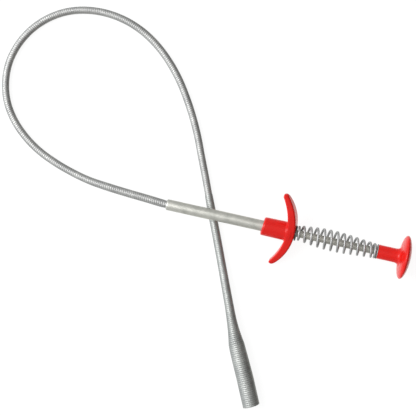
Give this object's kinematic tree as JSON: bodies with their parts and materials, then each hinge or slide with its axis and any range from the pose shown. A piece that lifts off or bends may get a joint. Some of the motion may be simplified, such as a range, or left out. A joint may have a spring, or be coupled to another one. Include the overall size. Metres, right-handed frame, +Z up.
{
  "type": "drain auger",
  "caption": "Flexible drain auger: a spring-returned thumb plunger in a finger grip drives a cable through a looped steel hose, and wire claws come out of its coil-wound head.",
  "frame": {"origin": "on the resting surface under the middle of the handle, which runs from the barrel tube's open end to the top of the thumb button", "axes": "+X along the handle towards the thumb button, +Y towards the raised arm of the finger grip and the hose's loop, +Z up off the resting surface"},
  "size_m": [0.2474, 0.2043, 0.0248],
  "materials": {
    "tube_steel": "nickel plated, satin",
    "hose_steel": "galvanised wire winding",
    "spring_steel": "bright drawn wire",
    "collar_steel": "turned, blackened",
    "cable_steel": "twisted strand",
    "brass": "turned",
    "red_plastic": "glossy moulded"
  },
  "bodies": {
    "root": {"barrel_tube": "tube_steel", "rod_guide_bush": "brass", "hose_end_collar": "collar_steel", "finger_grip": "red_plastic", "front_spring_washer": "collar_steel", "return_spring": "spring_steel", "flexible_hose": "hose_steel", "cable_core": "cable_steel", "coil_joining_ferrule": "brass", "head_coil": "hose_steel"},
    "plunger": {"thumb_button": "red_plastic", "plunger_rod": "tube_steel", "rear_spring_washer": "spring_steel", "plunger_stop_collar": "collar_steel", "rod_cable_crimp": "brass"},
    "claw_carriage": {"claw_carrier": "brass", "cable_tail_sleeve": "collar_steel"},
    "claw_1": {"claw_1": "spring_steel"},
    "claw_2": {"claw_2": "spring_steel"},
    "claw_3": {"claw_3": "spring_steel"},
    "claw_4": {"claw_4": "spring_steel"}
  },
  "joints": [
    {"name": "plunger_slide", "type": "slide", "parent": "root", "child": "plunger", "axis": [-0.9992, 0, -0.0393], "range_m": [0, 0.025], "stiffness_N_per_m": 600, "springref_m": -0.008, "deforming": ["return_spring"]},
    {"name": "claw_slide", "type": "slide", "parent": "root", "child": "claw_carriage", "axis": [0.4274, -0.9041, 0], "range_m": [0, 0.025]},
    {"name": "claw_1_spread", "type": "hinge", "parent": "claw_carriage", "child": "claw_1", "pos_m": [-0.00975, -0.07838, 0.00548], "axis": [-0.6393, -0.3022, -0.7071], "range_deg": [0, 17]},
    {"name": "claw_2_spread", "type": "hinge", "parent": "claw_carriage", "child": "claw_2", "pos_m": [-0.00975, -0.07838, 0.00406], "axis": [0.6393, 0.3022, -0.7071], "range_deg": [0, 17]},
    {"name": "claw_3_spread", "type": "hinge", "parent": "claw_carriage", "child": "claw_3", "pos_m": [-0.00847, -0.07778, 0.00406], "axis": [0.6393, 0.3022, 0.7071], "range_deg": [0, 17]},
    {"name": "claw_4_spread", "type": "hinge", "parent": "claw_carriage", "child": "claw_4", "pos_m": [-0.00847, -0.07778, 0.00548], "axis": [-0.6393, -0.3022, 0.7071], "range_deg": [0, 17]}
  ],
  "couplings": [
    {"joint": "claw_slide", "follows": "plunger_slide", "ratio": 1},
    {"joint": "claw_1_spread", "follows": "plunger_slide", "rad_per_m": 11.8},
    {"joint": "claw_2_spread", "follows": "plunger_slide", "rad_per_m": 11.8},
    {"joint": "claw_3_spread", "follows": "plunger_slide", "rad_per_m": 11.8},
    {"joint": "claw_4_spread", "follows": "plunger_slide", "rad_per_m": 11.8}
  ]
}
